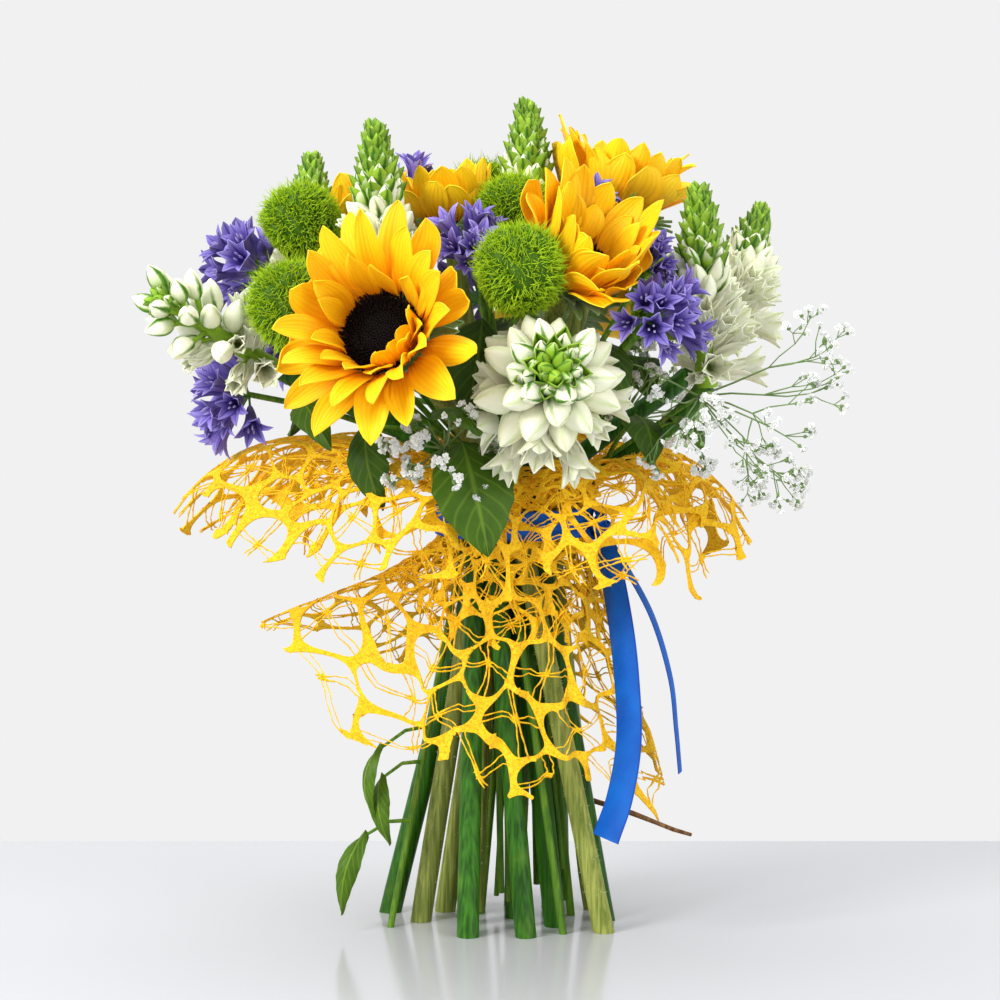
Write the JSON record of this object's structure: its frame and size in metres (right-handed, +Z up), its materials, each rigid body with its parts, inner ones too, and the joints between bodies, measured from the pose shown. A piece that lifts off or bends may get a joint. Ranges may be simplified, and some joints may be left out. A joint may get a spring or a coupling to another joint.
{
  "type": "bunch of sunflowers",
  "caption": "Hand-tied mixed bunch of sunflowers with white, blue and green flowers, wrapped in yellow net and tied with a blue ribbon, standing on its cut stems.",
  "frame": {"origin": "middle of the central stem's flat cut end, on the table", "axes": "+Z up along the bunch, from the cut stems to the flowers; -Y is the front, towards the large sunflower; +X to the right of the front"},
  "size_m": [0.348, 0.2797, 0.4196],
  "materials": {
    "sunflower_ray": "soft satin petal",
    "sunflower_disc": "matte, dense dark florets",
    "sunflower_green": "matte, finely hairy",
    "spike_white": "smooth waxy petal",
    "spike_green": "smooth satin stem",
    "dianthus_green": "matte, fine needles",
    "brodiaea_blue": "soft satin petal",
    "breath_white": "matte",
    "net_yellow": "matte webby fibre",
    "ribbon_blue": "satin",
    "twine": "matte twisted fibre"
  },
  "bodies": {
    "root": {"babys_breath_1": "breath_white", "babys_breath_2": "breath_white", "babys_breath_3": "breath_white", "binding_twine": "twine", "blue_cluster_1": "brodiaea_blue", "blue_cluster_2": "brodiaea_blue", "blue_cluster_3": "brodiaea_blue", "blue_cluster_4": "brodiaea_blue", "blue_cluster_5": "brodiaea_blue", "blue_cluster_6": "brodiaea_blue", "blue_cluster_7": "brodiaea_blue", "blue_cluster_8": "brodiaea_blue", "blue_cluster_9": "brodiaea_blue", "blue_ribbon": "ribbon_blue", "green_ball_1": "dianthus_green", "green_ball_2": "dianthus_green", "green_ball_3": "dianthus_green", "green_ball_4": "dianthus_green", "green_ball_5": "dianthus_green", "green_ball_6": "dianthus_green", "sunflower_1_disc": "sunflower_disc", "sunflower_1_rays": "sunflower_ray", "sunflower_1_stem": "sunflower_green", "sunflower_2_disc": "sunflower_disc", "sunflower_2_rays": "sunflower_ray", "sunflower_2_stem": "sunflower_green", "sunflower_3_disc": "sunflower_disc", "sunflower_3_rays": "sunflower_ray", "sunflower_3_stem": "sunflower_green", "sunflower_4_disc": "sunflower_disc", "sunflower_4_rays": "sunflower_ray", "sunflower_4_stem": "sunflower_green", "sunflower_5_disc": "sunflower_disc", "sunflower_5_rays": "sunflower_ray", "sunflower_5_stem": "sunflower_green", "sunflower_6_disc": "sunflower_disc", "sunflower_6_rays": "sunflower_ray", "sunflower_6_stem": "sunflower_green", "white_spike_1_flowers": "spike_white", "white_spike_1_stem": "spike_green", "white_spike_2_flowers": "spike_white", "white_spike_2_stem": "spike_green", "white_spike_3_flowers": "spike_white", "white_spike_3_stem": "spike_green", "white_spike_4_flowers": "spike_white", "white_spike_4_stem": "spike_green", "white_spike_5_flowers": "spike_white", "white_spike_5_stem": "spike_green", "white_spike_6_flowers": "spike_white", "white_spike_6_stem": "spike_green", "white_spike_7_flowers": "spike_white", "white_spike_7_stem": "spike_green", "white_spike_8_flowers": "spike_white", "white_spike_8_stem": "spike_green", "yellow_net": "net_yellow"}
  },
  "joints": []
}
